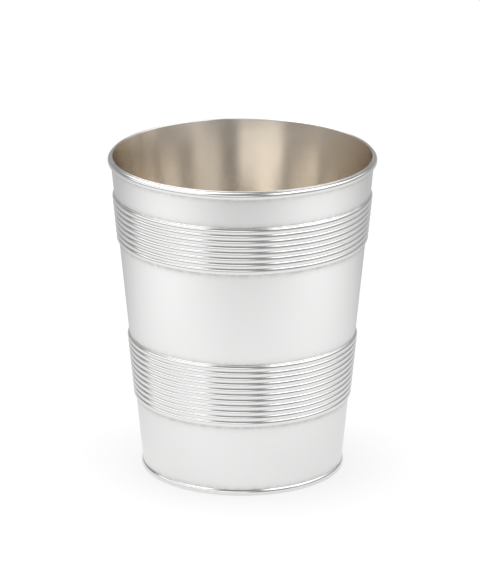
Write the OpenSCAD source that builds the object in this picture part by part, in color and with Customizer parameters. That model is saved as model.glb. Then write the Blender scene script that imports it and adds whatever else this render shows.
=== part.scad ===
// Julep cup: a straight tapered silver cup with a gilt inside. Two reeded bands run round the
// wall, a half-round wire stiffens the lip, and a second one stands the foot on the table.
// The axis of the cup is Z, and the cup stands on z = 0.

/* [Cup] */
// Height from the table to the top of the lip
cup_h = 106; // [95:1:118]
// Outside diameter of the bare wall at the level of the lip
mouth_d = 86; // [80:0.2:92]
// Outside diameter of the bare wall at the table
foot_d = 65.6; // [60:0.2:70]
// Thickness of the silver sheet that the wall is made of
wall_t = 0.6; // [0.5:0.05:1.1]

/* [Bottom] */
// Height of the inside floor of the silver above the table
floor_z = 3.6; // [3:0.1:6]
// Thickness of the bottom, and of the edge that is turned down from it
bottom_t = 0.8; // [0.5:0.05:1.1]
// Gap between the turned-down edge and the table
flange_gap = 0.9; // [0.5:0.1:1.4]
// Inside radius of the bend between the bottom and its turned-down edge
bend_r = 0.8; // [0.4:0.1:1]

/* [Gilding] */
// Thickness of the gold layer as it is modelled
gilt_t = 0.15; // [0.1:0.05:0.3]
// Radius of the rounded corner between the gilt wall and the gilt floor
cove_r = 2.2; // [1:0.1:4]

/* [Lip and foot wires] */
// Height of the lip wire along the wall
lip_wire_h = 2.4; // [1.8:0.1:3.2]
// How far the lip wire stands out from the wall
lip_wire_out = 0.95; // [0.6:0.05:1.2]
// Bare edge of the wall above the lip wire
lip_wire_drop = 0.35; // [0.3:0.05:1]
// Height of the foot wire along the wall, before its underside is made flat
foot_wire_h = 2.4; // [1.8:0.1:3.2]
// How far the foot wire stands out from the wall
foot_wire_out = 0.6; // [0.4:0.05:0.9]
// Part of the foot wire that is filed away to make it stand flat
foot_wire_flat = 0.4; // [0.2:0.05:0.6]

/* [Reeded bands] */
// Distance from one reed to the next, along the wall
reed_pitch = 1.95; // [1.6:0.05:2.4]
// Height of a reed above the groove beside it
reed_rise = 0.4; // [0.3:0.05:0.6]
// Thickness of a band at the bottom of its grooves
band_t = 0.25; // [0.25:0.05:0.6]
// Thickness of the plain border along both edges of a band
border_t = 0.2; // [0.1:0.05:0.2]
// Width of that plain border
border_w = 0.4; // [0.3:0.05:0.8]
// Reeds in the upper band
upper_reeds = 8; // [6:1:9]
// Height of bare wall between the upper band and the top of the lip
upper_band_drop = 12.3; // [8:0.1:14]
// Reeds in the lower band
lower_reeds = 11; // [7:1:11]
// Height of the lower band's bottom edge above the table
lower_band_z = 24.1; // [18:0.1:28]

/* [Hidden] */
$fn = 128;

// How far a cut runs past what it cuts
overrun = 1;

// Lean of the wall away from the axis
taper = atan((mouth_d - foot_d) / 2 / cup_h);

// Radius, at height z, of a face that lies parallel to the wall's outside and below it
function face_r(below, z) = foot_d / 2 - below / cos(taper) + z * tan(taper);

// The lip is the top edge of the wall, rounded over its whole thickness
lip_r = wall_t / 2;
lip_z = cup_h - lip_r;
lip_y = (lip_z - lip_r * sin(taper)) / cos(taper);

// The gilding stops where the lip begins to turn over
gilt_top_z = lip_z;
gilt_floor_z = floor_z + gilt_t;

// A reed is the part of a circle that stands above the grooves on both sides of it
reed_r = (pow(reed_pitch / 2, 2) + pow(reed_rise, 2)) / 2 / reed_rise;
function band_h(reeds) = reeds * reed_pitch + 2 * border_w;
lower_band_y = lower_band_z / cos(taper);
upper_band_y = (cup_h - upper_band_drop) / cos(taper) - band_h(upper_reeds);

lip_wire_y = lip_y + lip_r - lip_wire_drop - lip_wire_h / 2;
foot_wire_y = foot_wire_h / 2 - foot_wire_flat;

silver = "#dfe0e2";
bright_silver = "#eeeff0";
gilt = "#cdb184";

// Draws its children in the wall's own frame: x is out from the outer face, y is up the slope
module on_wall() {
    translate([foot_d / 2, 0]) rotate(-taper) children();
}

// Keeps the part of a profile that is above the table
module above_table() {
    intersection() {
        children();
        square([mouth_d, cup_h]);
    }
}

// Profile of a hollow with sides parallel to the wall, a flat end at flat_z, and a round corner
// between them. It opens upwards if up is 1 and downwards if up is -1, as far as open_z.
module hollow(below, flat_z, corner_r, up, open_z) {
    corner_z = flat_z + up * corner_r;
    corner_x = face_r(below + corner_r, corner_z);
    polygon([
        [0, flat_z],
        [corner_x, flat_z],
        [corner_x + corner_r * cos(taper), corner_z - corner_r * sin(taper)],
        [face_r(below, open_z), open_z],
        [0, open_z]
    ]);
    translate([corner_x, corner_z]) circle(r = corner_r);
}

// Profile of all that lies inside the wall between two heights
module inside_wall(low_z, high_z) {
    polygon([
        [0, low_z],
        [face_r(wall_t, low_z), low_z],
        [face_r(wall_t, high_z), high_z],
        [0, high_z]
    ]);
}

// Profile of a half-round wire that lies on the wall, its middle at y
module wire_profile(y, height, out) {
    wire_r = (pow(height / 2, 2) + pow(out, 2)) / 2 / out;
    intersection() {
        translate([out - wire_r, y]) circle(r = wire_r);
        translate([0, y - height]) square([out + wire_r, height * 2]);
    }
}

// Profile of a reeded strip that lies on the wall, its lower edge at y
module reeded_profile(y, reeds) {
    translate([0, y]) intersection() {
        union() {
            square([border_t, band_h(reeds)]);
            for (i = [0 : reeds - 1])
                translate([band_t + reed_rise - reed_r, border_w + (i + 0.5) * reed_pitch])
                    circle(r = reed_r);
        }
        square([band_t + reed_rise + overrun, band_h(reeds)]);
    }
}

// Tapered wall, open at both ends, with its rounded lip
module cup_wall() {
    color(silver) rotate_extrude() above_table() on_wall() {
        translate([-wall_t, -overrun]) square([wall_t, lip_y + overrun]);
        translate([-lip_r, lip_y]) circle(r = lip_r);
    }
}

// Bottom let into the wall, with its edge turned down against the inside of the foot
module bottom_disc() {
    color(silver) rotate_extrude() difference() {
        inside_wall(flange_gap, floor_z);
        hollow(wall_t + bottom_t, floor_z - bottom_t, bend_r, -1, -overrun);
    }
}

// Gold over the whole inside, thickest in the rounded corner where it covers the solder
module gilt_lining() {
    color(gilt) rotate_extrude() difference() {
        inside_wall(floor_z, gilt_top_z);
        hollow(wall_t + gilt_t, gilt_floor_z, cove_r, 1, gilt_top_z + overrun);
    }
}

module lip_wire() {
    color(bright_silver) rotate_extrude()
        on_wall() wire_profile(lip_wire_y, lip_wire_h, lip_wire_out);
}

module foot_wire() {
    color(bright_silver) rotate_extrude()
        above_table() on_wall() wire_profile(foot_wire_y, foot_wire_h, foot_wire_out);
}

module upper_reeded_band() {
    color(bright_silver) rotate_extrude() on_wall() reeded_profile(upper_band_y, upper_reeds);
}

module lower_reeded_band() {
    color(bright_silver) rotate_extrude() on_wall() reeded_profile(lower_band_y, lower_reeds);
}

cup_wall();
bottom_disc();
gilt_lining();
lip_wire();
foot_wire();
upper_reeded_band();
lower_reeded_band();
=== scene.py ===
import math

import bpy
import numpy as np
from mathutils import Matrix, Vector


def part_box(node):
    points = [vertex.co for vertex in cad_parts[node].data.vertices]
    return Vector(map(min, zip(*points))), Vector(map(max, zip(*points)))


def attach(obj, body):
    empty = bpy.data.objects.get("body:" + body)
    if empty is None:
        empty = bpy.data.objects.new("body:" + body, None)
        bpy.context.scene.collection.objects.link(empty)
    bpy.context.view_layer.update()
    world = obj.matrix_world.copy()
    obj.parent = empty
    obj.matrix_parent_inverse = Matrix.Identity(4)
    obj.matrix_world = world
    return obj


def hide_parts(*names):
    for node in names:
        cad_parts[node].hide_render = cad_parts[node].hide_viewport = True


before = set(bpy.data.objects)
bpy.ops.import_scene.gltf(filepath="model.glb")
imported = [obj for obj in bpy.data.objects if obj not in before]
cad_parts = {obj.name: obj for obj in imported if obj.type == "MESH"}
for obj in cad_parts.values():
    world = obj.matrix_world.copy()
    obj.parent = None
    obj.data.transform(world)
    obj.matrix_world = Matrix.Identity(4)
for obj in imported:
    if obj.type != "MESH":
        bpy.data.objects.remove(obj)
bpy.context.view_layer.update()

bl_info = {
    "name": "Julep Cup",
    "version": (1, 0, 0),
    "blender": (4, 5, 0),
    "location": "View3D > Sidebar > Julep Cup",
    "description": "Models a silver julep cup with a gilt inside and reeded bands, and its studio",
    "category": "Object",
}

MM = 0.001

# Heights within the first of these distances count as one, and points within the second are joined
HAIR = 0.01 * MM
WELD_DISTANCE = HAIR / 10


# Sizes read from the frame

WIRES_AND_BANDS = ("foot_wire", "lower_reeded_band", "upper_reeded_band", "lip_wire")


def radii_and_heights(node):
    """Radius and height of every vertex of a CAD node, as two arrays."""
    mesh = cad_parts[node].data
    flat = np.empty(len(mesh.vertices) * 3)
    mesh.vertices.foreach_get("co", flat)
    x, y, z = flat.reshape(-1, 3).T
    return np.hypot(x, y), z


def wall_line():
    """Outer radius of the wall at the table, and the wall's lean in radians."""
    r, z = radii_and_heights("cup_wall")
    foot = r[z < HAIR].max()
    widest = r.argmax()
    return foot, math.atan2(r[widest] - foot, z[widest])


FOOT_R, TAPER = wall_line()
SIN, COS, TAN = math.sin(TAPER), math.cos(TAPER), math.tan(TAPER)


def at_wall(out, up):
    """Radius and height of a point that lies this far out from the wall and up its slope."""
    return FOOT_R + out * COS + up * SIN, up * COS - out * SIN


def off_wall(r, z):
    """How far points of radius r and height z lie out from the wall and up its slope."""
    return (r - FOOT_R) * COS - z * SIN, (r - FOOT_R) * SIN + z * COS


def reach(node):
    """Lowest and highest out, then lowest and highest up, of a CAD node."""
    out, up = off_wall(*radii_and_heights(node))
    return out.min(), out.max(), up.min(), up.max()


def thickness_at(node, lowest, highest):
    """How far a CAD node reaches inwards from the wall's outer face between two heights."""
    r, z = radii_and_heights(node)
    out, _ = off_wall(r, z)
    return -out[(z > lowest) & (z < highest)].min()


WALL_T = thickness_at("cup_wall", -HAIR, HAIR)
LIP_UP = reach("cup_wall")[3]
FLOOR_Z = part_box("gilt_lining")[0].z
GILT_TOP_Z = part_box("gilt_lining")[1].z
GILT_DEPTH = thickness_at("gilt_lining", GILT_TOP_Z - HAIR, GILT_TOP_Z + HAIR)
GILT_FLOOR_Z = min(z for z in radii_and_heights("gilt_lining")[1] if z > FLOOR_Z + HAIR)
FLANGE_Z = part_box("bottom_disc")[0].z
FLANGE_DEPTH = thickness_at("bottom_disc", FLANGE_Z - HAIR, FLANGE_Z + HAIR)


# Values of the shapes

# Steps along each curve and flat of the outlines
FILLET_STEPS = 5
LIP_STEPS = 16
COVE_STEPS = 12
BEND_STEPS = 8
CROWN_STEPS = 20
FLAT_STEPS = 20
HIDDEN_FLAT_STEPS = 6

# Extra rows of points on the wall round the edge of every wire and band, in widths of a nook, and
# how many decimals of a metre the rows are rounded to
NOOK_ROWS = (-3, -2, -1.2, -0.6, 0, 0.6, 1.2, 2, 3)
ROW_DECIMALS = 6

# Edges that turn by more than this stay sharp
SMOOTH_ANGLE = math.radians(35)


# Values of the finishes

# Tarnish and painted shade in nooks, tarnish on open faces, the clean metal's roughness, how much
# there is of smears and of scratches, and how deep the polishing lines are, in millimetres
FINISHES = {
    "sheet_silver": {"nook_tarnish_and_shade": 0.6, "open_faces": 0.015, "roughness": 0.08,
                     "smears": 0.5, "scratches": 0.4, "line_depth": 0.002},
    "wire_silver": {"nook_tarnish_and_shade": 0.45, "open_faces": 0.04, "roughness": 0.09,
                    "smears": 0.5, "scratches": 0.3, "line_depth": 0.002},
    "gold_wash": {"nook_tarnish_and_shade": 0.5, "open_faces": 0.09, "roughness": 0.12,
                  "smears": 1.0, "scratches": 0.3, "line_depth": 0.004},
}

# Roughness that full tarnish, smears and scratches add
TARNISH_ROUGHNESS = 0.3
SMEAR_ROUGHNESS = 0.05
SCRATCH_ROUGHNESS = 0.06

# Depths of the waviness and the scratches, in millimetres
WAVE_DEPTH = 0.04
SCRATCH_DEPTH = 0.003

# Noise patterns, and the values of the noise between which a pattern's mask rises
WAVES = {"scale": 60.0, "detail": 1.0}
LINES = {"scale": 1.0, "detail": 3.0, "roughness": 0.6}
THREADS = {"scale": 1.0, "detail": 1.0, "low": 0.7, "high": 0.76}
SCRATCHED_PATCHES = {"scale": 55.0, "low": 0.42, "high": 0.62}
TARNISH_DRIFT = {"scale": 38.0, "detail": 4.0, "roughness": 0.6, "low": 0.35, "high": 0.75}
TARNISH_SPECKLE = {"scale": 420.0, "detail": 3.0, "roughness": 0.6, "low": 0.3, "high": 0.7}
SMEARS = {"detail": 5.0, "roughness": 0.62, "low": 0.42, "high": 0.68}
RUBBED_PATCHES = {"scale": 90.0, "detail": 4.0, "roughness": 0.6, "low": 0.25, "high": 0.75}

# Share of the tarnish and painted shade in nooks that comes and goes with its speckle
SPECKLE_SHARE = 0.5

# How fast polishing lines change along their run, which is slow against the lines per metre
LINE_DRIFT = 30.0

# Scratches: the noise that bends them, how far it does, how they are stretched, and their turns
SCRATCH_WANDER = {"Scale": 40.0, "Detail": 2.0}
SCRATCH_BEND = (0.006, 0.006, 0.006)
SCRATCH_STRETCH = (5200.0, 60.0, 60.0)
SCRATCH_TURNS = ((0.4, 0.9, 0.2), (1.3, -0.7, 0.9), (-0.5, 0.2, 1.7))

# Nooks that polishing misses, darkened by tarnish and painted shade: width of the one under the
# bottom, in widths of the wall's nooks, reach of the one along a wire, in sizes of the solder, and
# how steeply a groove darkens
UNDERSIDE_NOOK = 4
WIRE_NOOK = 2
GROOVE_POWER = 3


# Values of the studio

# Point on the cup's axis that the camera is set from, the camera's rise above level, its distance
# in metres, its shift upwards and sideways, also in metres, and its lens in millimetres
AIM = Vector((0, 0, 0.05))
CAMERA_RISE = math.radians(18.2)
CAMERA_DISTANCE = 1.3
CAMERA_LIFT = 0.0085
CAMERA_SIDE = -0.0008
CAMERA_LENS = 244

# Side of the floor, in metres
FLOOR_SIZE = 16

# Soft light round the cup: compass direction and height of its middle, half its width and height,
# all in degrees, and how bright it is. 0 is the camera's side, and the right-hand side is positive.
GLOWS = {
    "left_strip": (-51, 15, 60, 7, 1.24),
    "right_softbox": (72, 47, 42, 19, 1.5),
    "rear_softbox": (-118, 61, 80, 27, 1.4),
    "right_strip": (97, 23, 36, 7, 0.87),
    "backdrop": (180, 10, 58, 8, 0.08),
}

# How far a glow fades to either side of its edge, in degrees, and the light of the room round it
GLOW_EDGE = 9
ROOM_LEVEL = 0.28

# Degrees in a radian, and in half a turn
DEGREES = math.degrees(1)
HALF_TURN = 180.0

# What the camera and the metal see of the floor: the share of the real light on it, which keeps
# the shadows, and the white added to that
CAMERA_FLOOR = (0.15, 0.9)
METAL_FLOOR = (0.3, 0.25)

# Shade close round the foot: how far it reaches, in metres, and how deep it is
CONTACT_REACH = 0.03
CONTACT_SHADE = 0.22

# Two pools of light that the metal sees on the floor: x, y and radius, in metres, and level
POOLS = ((-0.174, -0.068, 0.32, 0.43), (0.174, -0.068, 0.32, 0.4))

# How many times light is followed from mirror to mirror, as the inside of the cup needs
MIRRORINGS = 12


class JulepSizes(bpy.types.PropertyGroup):
    """Sizes of the pieces' detail, which the frame doesn't give."""

    turning_steps: bpy.props.IntProperty(
        name="Turning Steps", description="Steps round the axis in every turned piece",
        default=256, min=32, max=512)
    wall_rows: bpy.props.IntProperty(
        name="Wall Rows", description="Rows of faces up the wall",
        default=48, min=8, max=200)
    reed_steps: bpy.props.IntProperty(
        name="Reed Steps", description="Faces over the back of one reed",
        default=12, min=4, max=24)
    edge_round: bpy.props.FloatProperty(
        name="Edge Round", description="Softened width of a worked edge",
        default=0.08 * MM, min=0, unit="LENGTH", subtype="DISTANCE")
    solder_fillet: bpy.props.FloatProperty(
        name="Solder Fillet", description="Size of the solder left in the corner by a wire or band",
        default=0.18 * MM, min=0, unit="LENGTH", subtype="DISTANCE")
    seat_depth: bpy.props.FloatProperty(
        name="Seat Depth", description="How far wires and bands sink into the solder on the wall",
        default=0.06 * MM, min=0, unit="LENGTH", subtype="DISTANCE")
    wire_height: bpy.props.FloatProperty(
        name="Wire Height",
        description="Height of both half-round wires, before the foot is filed flat",
        default=2.4 * MM, min=0, unit="LENGTH", subtype="DISTANCE")
    upper_reeds: bpy.props.IntProperty(
        name="Upper Reeds", description="Reeds in the upper band", default=8, min=1)
    lower_reeds: bpy.props.IntProperty(
        name="Lower Reeds", description="Reeds in the lower band", default=11, min=1)
    reed_rise: bpy.props.FloatProperty(
        name="Reed Rise", description="Height of a reed above its grooves",
        default=0.4 * MM, min=0, unit="LENGTH", subtype="DISTANCE")
    border_width: bpy.props.FloatProperty(
        name="Border Width", description="Width of the plain border along a band",
        default=0.4 * MM, min=0, unit="LENGTH", subtype="DISTANCE")
    border_thickness: bpy.props.FloatProperty(
        name="Border Thickness", description="Thickness of the plain border along a band",
        default=0.2 * MM, min=0, unit="LENGTH", subtype="DISTANCE")
    cove_radius: bpy.props.FloatProperty(
        name="Cove Radius", description="Radius of the corner between the gilt wall and floor",
        default=2.2 * MM, min=0, unit="LENGTH", subtype="DISTANCE")
    bend_radius: bpy.props.FloatProperty(
        name="Bend Radius",
        description="Inside radius of the bend at the bottom's turned-down edge",
        default=0.8 * MM, min=0, unit="LENGTH", subtype="DISTANCE")
    # Polishing misses this much of the wall beside a wire or band, which tarnish and painted shade
    # darken
    nook_width: bpy.props.FloatProperty(
        name="Nook Width", description="How far polishing misses the wall beside a wire or band",
        default=0.7 * MM, min=0, unit="LENGTH", subtype="DISTANCE")
    rubbed_width: bpy.props.FloatProperty(
        name="Rubbed Width", description="How far down from the lip the gold is rubbed thin",
        default=3 * MM, min=0, unit="LENGTH", subtype="DISTANCE")


class JulepColours(bpy.types.PropertyGroup):
    """Colours of the finishes and of the floor."""

    silver: bpy.props.FloatVectorProperty(
        name="Silver", description="Clean polished silver",
        default=(0.955, 0.953, 0.95), subtype="COLOR", min=0, max=1)
    # Colour that the nooks darken to: partly tarnish, partly painted shade in grooves and corners
    tarnish: bpy.props.FloatVectorProperty(
        name="Tarnish and Shade", description="Thin tarnish left in the grooves and corners",
        default=(0.45, 0.43, 0.41), subtype="COLOR", min=0, max=1)
    gilt: bpy.props.FloatVectorProperty(
        name="Gilt", description="Pale gold wash of the inside",
        default=(0.9, 0.86, 0.806), subtype="COLOR", min=0, max=1)
    rubbed_gilt: bpy.props.FloatVectorProperty(
        name="Rubbed Gilt", description="Gold wash rubbed thin over the silver",
        default=(0.94, 0.91, 0.86), subtype="COLOR", min=0, max=1)
    # Gold in the inside corner: partly dull gold, partly painted shade
    dull_gilt: bpy.props.FloatVectorProperty(
        name="Dull and Shaded Gilt", description="Gold wash in the corner that polishing doesn't reach",
        default=(0.72, 0.64, 0.53), subtype="COLOR", min=0, max=1)
    floor: bpy.props.FloatVectorProperty(
        name="Floor", description="Pale floor that the cup stands on",
        default=(0.9, 0.9, 0.9), subtype="COLOR", min=0, max=1)


# Modelling

def deselect_all():
    """Leaves edit mode and deselects every object."""
    if bpy.context.object and bpy.context.object.mode != "OBJECT":
        bpy.ops.object.mode_set(mode="OBJECT")
    bpy.ops.object.select_all(action="DESELECT")


def line(start, end, steps):
    """Points from start towards end, in even steps, without the end."""
    return [(start[0] + (end[0] - start[0]) * i / steps,
             start[1] + (end[1] - start[1]) * i / steps) for i in range(steps)]


def arc(centre, radius, start, end, steps):
    """Points of an arc between two angles in radians, both ends included."""
    return [(centre[0] + radius * math.cos(angle), centre[1] + radius * math.sin(angle))
            for angle in np.linspace(start, end, steps + 1)]


def bow_radius(half_width, rise):
    """Radius of the arc that is two half widths wide and stands this high in its middle."""
    return (half_width ** 2 + rise ** 2) / 2 / rise


def fillet(wall_point, corner, flank_point):
    """Curve from the wall round a corner onto a flank, without its last point."""
    start, bend, end = (Vector(point) for point in (wall_point, corner, flank_point))
    shares = [i / FILLET_STEPS for i in range(FILLET_STEPS)]
    return [tuple(start * (1 - t) ** 2 + bend * 2 * t * (1 - t) + end * t * t) for t in shares]


def closed(outline):
    """The same outline, ended at its first point."""
    return outline + outline[:1]


def turn(name, outline, sizes):
    """Draws an outline of radii and heights point by point, and spins it into a solid piece."""
    deselect_all()
    (r, z), rest = outline[0], outline[1:]
    bpy.ops.mesh.primitive_plane_add(size=MM, location=(r, 0, z))
    piece = bpy.context.object
    piece.name = piece.data.name = name
    bpy.ops.object.transform_apply(location=True, rotation=True, scale=True)
    bpy.ops.object.mode_set(mode="EDIT")
    bpy.ops.mesh.select_all(action="SELECT")
    bpy.ops.mesh.merge(type="CENTER")
    for next_r, next_z in rest:
        bpy.ops.mesh.extrude_vertices_move(
            TRANSFORM_OT_translate={"value": (next_r - r, 0, next_z - z)})
        r, z = next_r, next_z
    bpy.ops.mesh.select_all(action="SELECT")
    bpy.ops.mesh.spin(steps=sizes.turning_steps, angle=math.tau, center=(0, 0, 0), axis=(0, 0, 1))
    bpy.ops.mesh.select_all(action="SELECT")
    bpy.ops.mesh.remove_doubles(threshold=WELD_DISTANCE)
    bpy.ops.mesh.normals_make_consistent(inside=False)
    bpy.ops.object.mode_set(mode="OBJECT")
    bpy.ops.object.shade_smooth_by_angle(angle=SMOOTH_ANGLE)
    return piece


def note(piece, name, rule):
    """Stores rule(out, up) on every vertex of a piece, as an attribute that its material reads."""
    flat = np.empty(len(piece.data.vertices) * 3)
    piece.data.vertices.foreach_get("co", flat)
    x, y, z = flat.reshape(-1, 3).T
    values = rule(*off_wall(np.hypot(x, y), z))
    stored = piece.data.attributes.new(name, "FLOAT", "POINT")
    stored.data.foreach_set("value", np.clip(values, 0, 1).astype(np.float32))


def finish_piece(piece, material, slot, *nodes):
    """Gives a piece its material, hangs it under the root body, and hides the CAD nodes that it
    stands for.
    """
    piece.data.materials.append(material)
    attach(piece, "root")
    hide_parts(*nodes)


def corners_on_wall():
    """Distances up the wall where a wire or band begins or ends."""
    ends = [reach(node)[2:] for node in WIRES_AND_BANDS]
    return sorted(up for pair in ends for up in pair if up > HAIR)


def rows_up_wall(lowest, highest, sizes):
    """Distances up the wall of its rows of points, closer together beside the wires and bands."""
    rows = list(np.linspace(lowest, highest, sizes.wall_rows))
    for corner in corners_on_wall():
        rows += [corner + side * sizes.nook_width for side in NOOK_ROWS]
    return [float(up) for up in np.unique(np.round(rows, ROW_DECIMALS)) if lowest <= up <= highest]


def sheet_wall_outline(sizes):
    """Outline of the wall: outer face, rounded lip, inner face and flat lower edge."""
    lip_r = WALL_T / 2
    lip = (-lip_r, LIP_UP - lip_r)
    soft = sizes.edge_round
    points = [(-soft, -soft * TAN)]
    points += [(0, up) for up in rows_up_wall(soft, lip[1] - HAIR, sizes)]
    points += arc(lip, lip_r, 0, math.pi, LIP_STEPS)
    points += line((-WALL_T, lip[1]), (-WALL_T, soft), sizes.wall_rows)[1:]
    points += [(-WALL_T, soft), (-WALL_T + soft, (soft - WALL_T) * TAN)]
    return closed([at_wall(*point) for point in points])


def gilding_outline(sizes):
    """Outline of the gold: floor, rounded corner and wall inside, the silver's faces outside."""
    cove = sizes.cove_radius
    corner_z = GILT_FLOOR_Z + cove
    corner_r = FOOT_R - (GILT_DEPTH + cove) / COS + corner_z * TAN
    top = at_wall(-GILT_DEPTH, (GILT_TOP_Z - GILT_DEPTH * SIN) / COS)
    points = line((0, GILT_FLOOR_Z), (corner_r, GILT_FLOOR_Z), FLAT_STEPS)
    points += arc((corner_r, corner_z), cove, -math.pi / 2, -TAPER, COVE_STEPS)
    points += line(points[-1], top, sizes.wall_rows)[1:]
    points += [top, at_wall(-WALL_T, (GILT_TOP_Z - WALL_T * SIN) / COS)]
    points += [(FOOT_R - WALL_T / COS + FLOOR_Z * TAN, FLOOR_Z), (0, FLOOR_Z)]
    return points


def bottom_outline(sizes):
    """Outline of the bottom: flat disc with its edge turned down along the wall."""
    thickness = FLANGE_DEPTH - WALL_T
    under_z = FLOOR_Z - thickness
    bend = sizes.bend_radius
    corner_z = under_z - bend
    corner_r = FOOT_R - (FLANGE_DEPTH + bend) / COS + corner_z * TAN
    soft = thickness / 2
    foot = (-WALL_T - soft, (FLANGE_Z + soft) / COS)
    rim_r = FOOT_R - WALL_T / COS + FLOOR_Z * TAN
    points = line((0, FLOOR_Z), (rim_r, FLOOR_Z), HIDDEN_FLAT_STEPS) + [(rim_r, FLOOR_Z)]
    points += [at_wall(*point) for point in arc(foot, soft, 0, -math.pi, BEND_STEPS)]
    points += arc((corner_r, corner_z), bend, -TAPER, math.pi / 2, BEND_STEPS)
    points += line((corner_r, under_z), (0, under_z), FLAT_STEPS)[1:] + [(0, under_z)]
    return points


def half_round_outline(node, sizes):
    """Outline of a half-round wire with its solder, filed flat where the wire meets the table."""
    _, proud, _, high = reach(node)
    solder = sizes.solder_fillet
    half = sizes.wire_height / 2
    low = high - sizes.wire_height
    radius = bow_radius(half, proud)
    middle = at_wall(proud - radius, high - half)
    spread = math.acos((solder - proud + radius) / radius)
    filed = low < 0
    lowest = -math.asin((middle[1] - sizes.edge_round) / radius) if filed else -spread - TAPER
    crown = arc(middle, radius, spread - TAPER, lowest, CROWN_STEPS)
    points = [at_wall(-sizes.seat_depth, high + solder)]
    points += fillet(at_wall(0, high + solder), at_wall(0, high), crown[0])
    points += crown
    if filed:
        table_r = middle[0] + math.sqrt(radius ** 2 - middle[1] ** 2)
        points += [(table_r - sizes.edge_round, 0), (FOOT_R - sizes.seat_depth, 0)]
    else:
        points += fillet(at_wall(0, low - solder), at_wall(0, low), crown[-1])[::-1]
        points += [at_wall(-sizes.seat_depth, low - solder)]
    return closed(points)


def reeded_outline(node, reeds, sizes):
    """Outline of a reeded strip on the wall, with its plain borders and its solder."""
    _, crest, low, high = reach(node)
    solder, soft, border = sizes.solder_fillet, sizes.edge_round, sizes.border_thickness
    pitch = (high - low - 2 * sizes.border_width) / reeds
    radius = bow_radius(pitch / 2, sizes.reed_rise)
    middle_out = crest - radius
    groove = math.asin(pitch / 2 / radius)
    landing = math.acos((border - middle_out) / radius)
    points = [(-sizes.seat_depth, low - solder)]
    points += fillet((0, low - solder), (0, low), (solder, low))
    points += [(border - soft, low), (border, low + soft)]
    for i in range(reeds):
        start = landing if i == 0 else groove
        end = landing if i == reeds - 1 else groove
        middle = (middle_out, low + sizes.border_width + (i + 0.5) * pitch)
        points += arc(middle, radius, -start, end, sizes.reed_steps)[min(i, 1):]
    points += [(border, high - soft), (border - soft, high)]
    points += fillet((0, high + solder), (0, high), (solder, high))[::-1]
    points += [(-sizes.seat_depth, high + solder)]
    return closed([at_wall(*point) for point in points])


# Materials

def add(tree, kind, inputs=None, **options):
    """Adds a shader node, sets it up, and links or sets its inputs by name or number."""
    made = tree.nodes.new("ShaderNode" + kind)
    for key, value in options.items():
        setattr(made, key, value)
    for key, value in (inputs or {}).items():
        if isinstance(value, bpy.types.NodeSocket):
            tree.links.new(value, made.inputs[key])
        else:
            made.inputs[key].default_value = value
    return made


def maths(tree, operation, first, second=0.0, third=0.0):
    """Adds a maths node and returns its result."""
    return add(tree, "Math", {0: first, 1: second, 2: third}, operation=operation).outputs[0]


def step_up(tree, value, low, high, top=1.0):
    """Smooth rise from 0 to top as value goes from low to high."""
    return add(tree, "MapRange", {"Value": value, "From Min": low, "From Max": high, "To Max": top},
               interpolation_type="SMOOTHSTEP").outputs["Result"]


# The Mix node's sockets are given by number, because several of them share a name

def blend_colours(tree, share, first, second):
    """Mixes two colours, by a share of the second."""
    return add(tree, "Mix", {0: share, 6: first, 7: second}, data_type="RGBA").outputs[2]


def blend_values(tree, share, first, second):
    """Mixes two values, by a share of the second."""
    return add(tree, "Mix", {0: share, 2: first, 3: second}, data_type="FLOAT").outputs[0]


def noise(tree, vector, scale, detail=2.0, roughness=0.5):
    """Adds a noise texture and returns its value."""
    return add(tree, "TexNoise", {"Vector": vector, "Scale": scale, "Detail": detail,
                                  "Roughness": roughness}).outputs["Fac"]


def noise_mask(tree, vector, scale, low, high, **grain):
    """Mask that is 0 where a noise is under low, and 1 where it is over high."""
    return step_up(tree, noise(tree, vector, scale, **grain), low, high)


def object_place(tree):
    """Where a point lies, in its piece's own coordinates."""
    return add(tree, "TexCoord").outputs["Object"]


def noted(tree, name):
    """The value that note stored on the piece under this name."""
    return add(tree, "Attribute", attribute_name=name).outputs["Fac"]


def open_group(name, inputs, output):
    """Makes a node group of float inputs and one float output, returned with its end nodes."""
    tree = bpy.data.node_groups.new(name, "ShaderNodeTree")
    for label, default in inputs.items():
        socket = tree.interface.new_socket(label, in_out="INPUT", socket_type="NodeSocketFloat")
        socket.default_value = default
    tree.interface.new_socket(output, in_out="OUTPUT", socket_type="NodeSocketFloat")
    return tree, tree.nodes.new("NodeGroupInput").outputs, tree.nodes.new("NodeGroupOutput").inputs


def effect(tree, builder, values):
    """Places a shared effect in a material with its own values, and returns what it puts out."""
    shared = bpy.data.node_groups.get(builder.__name__) or builder()
    return add(tree, "Group", values, node_tree=shared).outputs[0]


def polishing_lines():
    """Group: height of the fine lines that polishing leaves, which run round the axis."""
    tree, given, out = open_group("polishing_lines", {"Lines per Metre": 1500.0}, "Height")
    x, y, z = add(tree, "SeparateXYZ", {0: object_place(tree)}).outputs
    level = add(tree, "CombineXYZ", {0: x, 1: y}).outputs[0]
    radius = add(tree, "VectorMath", {0: level}, operation="LENGTH").outputs["Value"]
    across = maths(tree, "MULTIPLY", maths(tree, "ADD", z, radius), given["Lines per Metre"])
    round_x = maths(tree, "MULTIPLY", x, LINE_DRIFT)
    round_y = maths(tree, "MULTIPLY", y, LINE_DRIFT)
    stretched = add(tree, "CombineXYZ", {0: round_x, 1: round_y, 2: across}).outputs[0]
    tree.links.new(noise(tree, stretched, **LINES), out[0])
    return tree


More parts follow.
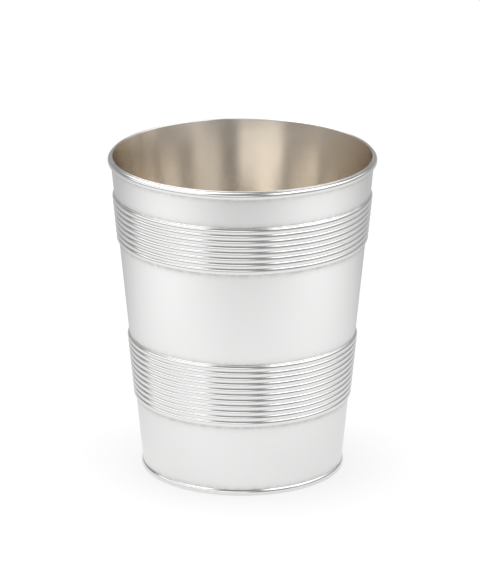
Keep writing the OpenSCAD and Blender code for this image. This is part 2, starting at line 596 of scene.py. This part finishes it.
def hairlines():
    """Group: mask of the thin scratches that use and wiping leave, in patches."""
    tree, given, out = open_group("hairlines", {"Amount": 0.5, "Fineness": 1.0}, "Mask")
    place = object_place(tree)
    wander = add(tree, "TexNoise", {"Vector": place, **SCRATCH_WANDER}).outputs["Color"]
    bent = add(tree, "VectorMath", {0: wander, 1: SCRATCH_BEND, 2: place},
               operation="MULTIPLY_ADD").outputs[0]
    bent = add(tree, "VectorMath", {0: bent, "Scale": given["Fineness"]},
               operation="SCALE").outputs[0]
    scratched = 0.0
    for turned in SCRATCH_TURNS:
        run = add(tree, "Mapping", {"Vector": bent, "Rotation": turned, "Scale": SCRATCH_STRETCH})
        threads = noise_mask(tree, run.outputs[0], **THREADS)
        scratched = maths(tree, "MAXIMUM", scratched, threads)
    patches = noise_mask(tree, place, **SCRATCHED_PATCHES)
    scratched = maths(tree, "MULTIPLY", scratched, patches)
    tree.links.new(maths(tree, "MULTIPLY", scratched, given["Amount"]), out[0])
    return tree


def tarnish_and_nook_shade():
    """Group: mask of tarnish with painted shade in nooks, and of tarnish drifting thin on open
    faces.
    """
    amounts = {"Nook": 0.0, "Shade and Patina in Nooks": 0.8, "Open Faces": 0.1}
    tree, given, out = open_group("tarnish_and_nook_shade", amounts, "Mask")
    place = object_place(tree)
    drift = noise_mask(tree, place, **TARNISH_DRIFT)
    speckle = noise_mask(tree, place, **TARNISH_SPECKLE)
    uneven = maths(tree, "MULTIPLY_ADD", speckle, SPECKLE_SHARE, 1 - SPECKLE_SHARE)
    held_tarnish_and_shade = maths(tree, "MULTIPLY", given["Nook"], given["Shade and Patina in Nooks"])
    held_tarnish_and_shade = maths(tree, "MULTIPLY", held_tarnish_and_shade, uneven)
    thin = maths(tree, "MULTIPLY", drift, given["Open Faces"])
    tree.links.new(maths(tree, "ADD", held_tarnish_and_shade, thin), out[0])
    return tree


def handling_marks():
    """Group: mask of the faint smears that hands and cloths leave on a polished face."""
    amounts = {"Amount": 1.0, "Marks per Metre": 60.0}
    tree, given, out = open_group("handling_marks", amounts, "Mask")
    smears = noise_mask(tree, object_place(tree), given["Marks per Metre"], **SMEARS)
    tree.links.new(maths(tree, "MULTIPLY", smears, given["Amount"]), out[0])
    return tree


def new_material(name):
    """Makes an empty node material, and returns it with its tree and its output."""
    material = bpy.data.materials.new(name)
    material.use_nodes = True
    material.node_tree.nodes.clear()
    return material, material.node_tree, material.node_tree.nodes.new("ShaderNodeOutputMaterial")


def worked_metal(name, colour):
    """Finds or builds a polished metal from its colour, tarnish, painted nook shade and traces of
    work.
    """
    if name in bpy.data.materials:
        return bpy.data.materials[name]
    finish = FINISHES[name]
    material, tree, out = new_material(name)
    tarnish = effect(tree, tarnish_and_nook_shade, {
        "Nook": noted(tree, "nook"), "Shade and Patina in Nooks": finish["nook_tarnish_and_shade"],
        "Open Faces": finish["open_faces"]})
    smears = effect(tree, handling_marks, {"Amount": finish["smears"]})
    threads = effect(tree, hairlines, {"Amount": finish["scratches"]})
    lines = effect(tree, polishing_lines, {})
    waves = maths(tree, "MULTIPLY", noise(tree, object_place(tree), **WAVES), WAVE_DEPTH)
    rough = maths(tree, "MULTIPLY_ADD", tarnish, TARNISH_ROUGHNESS, finish["roughness"])
    rough = maths(tree, "MULTIPLY_ADD", smears, SMEAR_ROUGHNESS, rough)
    rough = maths(tree, "MULTIPLY_ADD", threads, SCRATCH_ROUGHNESS, rough)
    relief = maths(tree, "MULTIPLY_ADD", lines, finish["line_depth"], waves)
    relief = maths(tree, "MULTIPLY_ADD", threads, -SCRATCH_DEPTH, relief)
    bump = add(tree, "Bump", {"Height": relief, "Strength": 1.0, "Distance": MM})
    shader = add(tree, "BsdfPrincipled", {"Base Color": colour(tree, tarnish), "Metallic": 1.0,
                                          "Roughness": rough, "Normal": bump.outputs["Normal"]})
    tree.links.new(shader.outputs[0], out.inputs["Surface"])
    return material


def silver_colour(colours):
    """Rule for how silver's colour follows its tarnish and the shade painted into its nooks."""
    def rule(tree, tarnish):
        return blend_colours(tree, tarnish, (*colours.silver, 1), (*colours.tarnish, 1))
    return rule


def gilt_colour(colours):
    """Rule for the gold's colour: rubbed thin at the lip, darker in the corner with dullness and
    painted shade.
    """
    def rule(tree, tarnish):
        uneven = noise_mask(tree, object_place(tree), **RUBBED_PATCHES)
        rubbed = maths(tree, "MULTIPLY", noted(tree, "rubbed"), uneven)
        gold = blend_colours(tree, rubbed, (*colours.gilt, 1), (*colours.rubbed_gilt, 1))
        return blend_colours(tree, tarnish, gold, (*colours.dull_gilt, 1))
    return rule


def sheet_silver(colours):
    """Sheet silver, polished bright on the lathe."""
    return worked_metal("sheet_silver", silver_colour(colours))


def wire_silver(colours):
    """Silver wire and reeded strip, with tarnish and painted shade in the grooves."""
    return worked_metal("wire_silver", silver_colour(colours))


def gold_wash(colours):
    """Pale gold over the silver inside, softer than the polished outside."""
    return worked_metal("gold_wash", gilt_colour(colours))


def pale_floor(colours):
    """White floor that keeps the cup's soft shadow, and can be seen through from below."""
    material, tree, out = new_material("pale_floor")
    path = add(tree, "LightPath").outputs
    camera = path["Is Camera Ray"]
    metal = maths(tree, "MAXIMUM", path["Is Glossy Ray"], path["Is Transmission Ray"])
    kept = maths(tree, "MULTIPLY_ADD", camera, CAMERA_FLOOR[0] - 1, 1.0)
    kept = maths(tree, "MULTIPLY_ADD", metal, METAL_FLOOR[0] - 1, kept)
    colour = blend_colours(tree, kept, (0, 0, 0, 1), (*colours.floor, 1))
    lit = add(tree, "BsdfDiffuse", {"Color": colour}).outputs[0]
    place = object_place(tree)
    pools = METAL_FLOOR[1]
    for x, y, radius, level in POOLS:
        away = add(tree, "VectorMath", {0: place, 1: (x, y, 0)}, operation="DISTANCE")
        pool = step_up(tree, away.outputs["Value"], radius, 0.0, level)
        pools = maths(tree, "ADD", pools, pool)
    open_air = add(tree, "AmbientOcclusion", {"Distance": CONTACT_REACH}).outputs["AO"]
    shade = maths(tree, "MULTIPLY_ADD", open_air, CONTACT_SHADE, 1 - CONTACT_SHADE)
    shaded = maths(tree, "MULTIPLY", maths(tree, "MULTIPLY", shade, CAMERA_FLOOR[1]), camera)
    white = maths(tree, "MULTIPLY_ADD", metal, pools, shaded)
    glow = add(tree, "Emission", {"Color": (1, 1, 1, 1), "Strength": white}).outputs[0]
    above = add(tree, "AddShader", {0: lit, 1: glow}).outputs[0]
    clear = add(tree, "BsdfTransparent").outputs[0]
    below = add(tree, "NewGeometry").outputs["Backfacing"]
    whole = add(tree, "MixShader", {0: below, 1: above, 2: clear})
    tree.links.new(whole.outputs[0], out.inputs["Surface"])
    return material


def studio_world():
    """Soft light from cards round the cup, in a dim room that the camera sees as white."""
    world = bpy.data.worlds.new("studio")
    world.use_nodes = True
    tree = world.node_tree
    tree.nodes.clear()
    out = tree.nodes.new("ShaderNodeOutputWorld")
    x, y, z = add(tree, "SeparateXYZ", {0: add(tree, "TexCoord").outputs["Generated"]}).outputs
    compass = maths(tree, "ARCTAN2", x, maths(tree, "MULTIPLY", y, -1.0))
    compass = maths(tree, "MULTIPLY", compass, DEGREES)
    height = maths(tree, "MULTIPLY", maths(tree, "ARCSINE", z), DEGREES)
    level = ROOM_LEVEL
    for azimuth, elevation, half_width, half_height, strength in GLOWS.values():
        side = maths(tree, "SUBTRACT", compass, azimuth)
        side = maths(tree, "ABSOLUTE", maths(tree, "WRAP", side, HALF_TURN, -HALF_TURN))
        rise = maths(tree, "ABSOLUTE", maths(tree, "SUBTRACT", height, elevation))
        across = step_up(tree, side, half_width + GLOW_EDGE, half_width - GLOW_EDGE)
        upright = step_up(tree, rise, half_height + GLOW_EDGE, half_height - GLOW_EDGE, strength)
        level = maths(tree, "MULTIPLY_ADD", across, upright, level)
    seen = add(tree, "LightPath").outputs["Is Camera Ray"]
    level = blend_values(tree, seen, level, 1.0)
    background = add(tree, "Background", {"Color": (1, 1, 1, 1), "Strength": level})
    tree.links.new(background.outputs[0], out.inputs["Surface"])
    bpy.context.scene.world = world


# Pieces

def settings(context):
    """The sizes and colours that the user has set."""
    return context.scene.julep_sizes, context.scene.julep_colours


class JULEP_OT_wall(bpy.types.Operator):
    """Turns the tapered wall with its rounded lip"""
    bl_idname = "julep.wall"
    bl_label = "Turn Wall"

    def execute(self, context):
        sizes, colours = settings(context)
        wall = turn("wall", sheet_wall_outline(sizes), sizes)
        corners = corners_on_wall()
        outer_quarter = -WALL_T / 4
        # Painted shade and tarnish on the outer face, beside the wires and bands
        note(wall, "nook", lambda out, up: (out > outer_quarter) * np.exp(
            -np.abs(up[:, None] - corners).min(axis=1) / sizes.nook_width))
        finish_piece(wall, sheet_silver(colours), "polished_silver", "cup_wall")
        return {"FINISHED"}


class JULEP_OT_bottom(bpy.types.Operator):
    """Turns the bottom, with its edge turned down inside the foot"""
    bl_idname = "julep.bottom"
    bl_label = "Turn Bottom"

    def execute(self, context):
        sizes, colours = settings(context)
        bottom = turn("bottom", bottom_outline(sizes), sizes)
        # Painted shade and tarnish under the bottom, round its turned-down edge
        note(bottom, "nook", lambda out, up: np.exp(
            -np.hypot(out + FLANGE_DEPTH, up - FLOOR_Z) / UNDERSIDE_NOOK / sizes.nook_width))
        finish_piece(bottom, sheet_silver(colours), "polished_silver", "bottom_disc")
        return {"FINISHED"}


class JULEP_OT_gilding(bpy.types.Operator):
    """Turns the gold wash over the whole inside"""
    bl_idname = "julep.gilding"
    bl_label = "Turn Gilding"

    def execute(self, context):
        sizes, colours = settings(context)
        gilding = turn("gilding", gilding_outline(sizes), sizes)
        corner_out, corner_up = off_wall(FOOT_R - GILT_DEPTH / COS, GILT_FLOOR_Z)
        # Painted shade and dull gold in the corner between the gilt floor and wall
        note(gilding, "nook", lambda out, up: np.exp(
            -np.hypot(out - corner_out, up - corner_up) / sizes.cove_radius))
        note(gilding, "rubbed", lambda out, up: np.exp((up - LIP_UP) / sizes.rubbed_width))
        finish_piece(gilding, gold_wash(colours), "gilt", "gilt_lining")
        return {"FINISHED"}


class JULEP_OT_wires(bpy.types.Operator):
    """Turns the half-round wires round the lip and the foot"""
    bl_idname = "julep.wires"
    bl_label = "Turn Lip and Foot Wires"

    def execute(self, context):
        sizes, colours = settings(context)
        for name, node in (("lip_binding", "lip_wire"), ("foot_ring", "foot_wire")):
            wire = turn(name, half_round_outline(node, sizes), sizes)
            # Painted shade and tarnish along the wire's seam with the wall
            note(wire, "nook", lambda out, up: np.exp(
                -np.maximum(out, 0) / WIRE_NOOK / sizes.solder_fillet))
            finish_piece(wire, wire_silver(colours), "drawn_silver", node)
        return {"FINISHED"}


class JULEP_OT_bands(bpy.types.Operator):
    """Turns the two reeded bands"""
    bl_idname = "julep.bands"
    bl_label = "Turn Reeded Bands"

    def execute(self, context):
        sizes, colours = settings(context)
        bands = (("upper_reeding", "upper_reeded_band", sizes.upper_reeds),
                 ("lower_reeding", "lower_reeded_band", sizes.lower_reeds))
        for name, node, reeds in bands:
            band = turn(name, reeded_outline(node, reeds, sizes), sizes)
            crest = reach(node)[1]
            # Painted shade and tarnish in the grooves between the reeds
            note(band, "nook", lambda out, up: ((crest - out) / sizes.reed_rise) ** GROOVE_POWER)
            finish_piece(band, wire_silver(colours), "drawn_silver", node)
        return {"FINISHED"}


class JULEP_OT_stage(bpy.types.Operator):
    """Sets up the floor, the studio's light and the camera"""
    bl_idname = "julep.stage"
    bl_label = "Set Up Studio"

    def execute(self, context):
        _, colours = settings(context)
        scene = context.scene
        deselect_all()
        bpy.ops.mesh.primitive_plane_add(size=FLOOR_SIZE, location=(0, 0, -HAIR))
        floor = context.object
        floor.name = floor.data.name = "floor"
        bpy.ops.object.transform_apply(location=True, rotation=True, scale=True)
        floor.data.materials.append(pale_floor(colours))
        studio_world()
        back = Vector((0, -math.cos(CAMERA_RISE), math.sin(CAMERA_RISE)))
        upwards = Vector((0, math.sin(CAMERA_RISE), math.cos(CAMERA_RISE)))
        place = AIM + back * CAMERA_DISTANCE + upwards * CAMERA_LIFT + Vector((CAMERA_SIDE, 0, 0))
        bpy.ops.object.camera_add(location=place, rotation=(math.pi / 2 - CAMERA_RISE, 0, 0))
        scene.camera = context.object
        scene.camera.data.lens = CAMERA_LENS
        scene.view_settings.view_transform = "Standard"
        scene.cycles.glossy_bounces = MIRRORINGS
        return {"FINISHED"}


STEPS = (JULEP_OT_wall, JULEP_OT_bottom, JULEP_OT_gilding,
         JULEP_OT_wires, JULEP_OT_bands, JULEP_OT_stage)


class JULEP_PT_panel(bpy.types.Panel):
    """Lists the cup's sizes, its colours and the steps that make it"""
    bl_idname = "JULEP_PT_panel"
    bl_label = "Julep Cup"
    bl_space_type = "VIEW_3D"
    bl_region_type = "UI"
    bl_category = "Julep Cup"

    def draw(self, context):
        for group in settings(context):
            column = self.layout.column(align=True)
            for name in group.bl_rna.properties.keys():
                if name not in {"rna_type", "name"}:
                    column.prop(group, name)
        for step in STEPS:
            self.layout.operator(step.bl_idname)


CLASSES = (JulepSizes, JulepColours, *STEPS, JULEP_PT_panel)


def register():
    """Adds the classes and the scene's settings to Blender."""
    for each in CLASSES:
        bpy.utils.register_class(each)
    bpy.types.Scene.julep_sizes = bpy.props.PointerProperty(type=JulepSizes)
    bpy.types.Scene.julep_colours = bpy.props.PointerProperty(type=JulepColours)


def unregister():
    """Takes the classes and the scene's settings out again."""
    del bpy.types.Scene.julep_colours
    del bpy.types.Scene.julep_sizes
    for each in reversed(CLASSES):
        bpy.utils.unregister_class(each)


def main():
    """Makes the cup and its studio step by step."""
    register()
    bpy.ops.julep.wall()
    bpy.ops.julep.bottom()
    bpy.ops.julep.gilding()
    bpy.ops.julep.wires()
    bpy.ops.julep.bands()
    bpy.ops.julep.stage()


if __name__ == "__main__":
    main()
